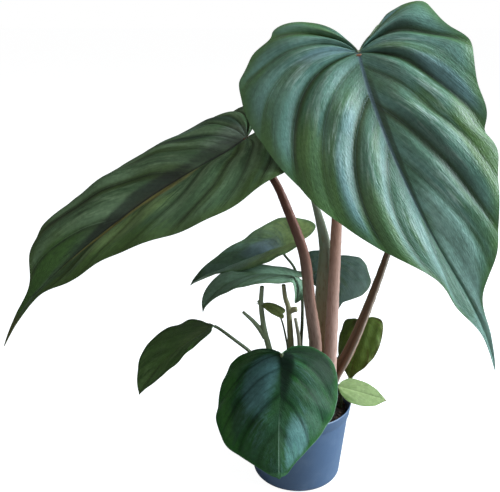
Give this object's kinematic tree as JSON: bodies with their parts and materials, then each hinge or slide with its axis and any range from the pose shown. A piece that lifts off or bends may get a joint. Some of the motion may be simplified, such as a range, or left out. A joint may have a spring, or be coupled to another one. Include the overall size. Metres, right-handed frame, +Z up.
{
  "type": "potted philodendron mamei",
  "caption": "House plant with large quilted heart-shaped leaves on long channelled stalks, standing in a round tapered nursery pot.",
  "frame": {"origin": "centre of the pot's flat base, where it stands on a surface", "axes": "+Z up along the pot's axis, -Y towards the front of the plant, +X to the right seen from the front"},
  "size_m": [0.458, 0.2585, 0.5112],
  "materials": {
    "pot_plastic": "matte moulded plastic",
    "potting_mix": "loose bark and fibre",
    "pink_stem": "smooth stalk skin, pink-brown",
    "red_stem": "smooth stalk skin, reddish brown",
    "green_stem": "smooth stalk skin, grey-green",
    "dry_sheath": "dry papery skin",
    "silver_leaf": "satin leaf, silver over green",
    "deep_leaf": "satin leaf, deep green",
    "dark_leaf": "satin leaf, dark green with silver",
    "olive_leaf": "satin leaf, olive green",
    "pale_leaf": "soft young leaf, pale green"
  },
  "bodies": {
    "root": {"pot": "pot_plastic", "soil": "potting_mix", "petiole_front_large": "pink_stem", "petiole_left_large": "red_stem", "petiole_back_right": "red_stem", "petiole_middle_lower": "green_stem", "petiole_middle_upper": "green_stem", "petiole_back_middle": "green_stem", "petiole_right_low": "green_stem", "petiole_front_low": "green_stem", "petiole_left_low": "green_stem", "petiole_newest": "green_stem", "petiole_old_small": "green_stem", "new_leaf_spear": "green_stem", "stub_left": "green_stem", "stub_middle": "red_stem", "dry_sheath": "dry_sheath", "leaf_front_large": "silver_leaf", "leaf_left_large": "deep_leaf", "leaf_front_low": "dark_leaf", "leaf_left_low": "olive_leaf", "leaf_middle_upper": "silver_leaf", "leaf_middle_lower": "deep_leaf", "leaf_back_middle": "dark_leaf", "leaf_right_low": "olive_leaf", "leaf_back_right": "deep_leaf", "leaf_newest": "pale_leaf", "leaf_old_small": "olive_leaf"}
  },
  "joints": []
}
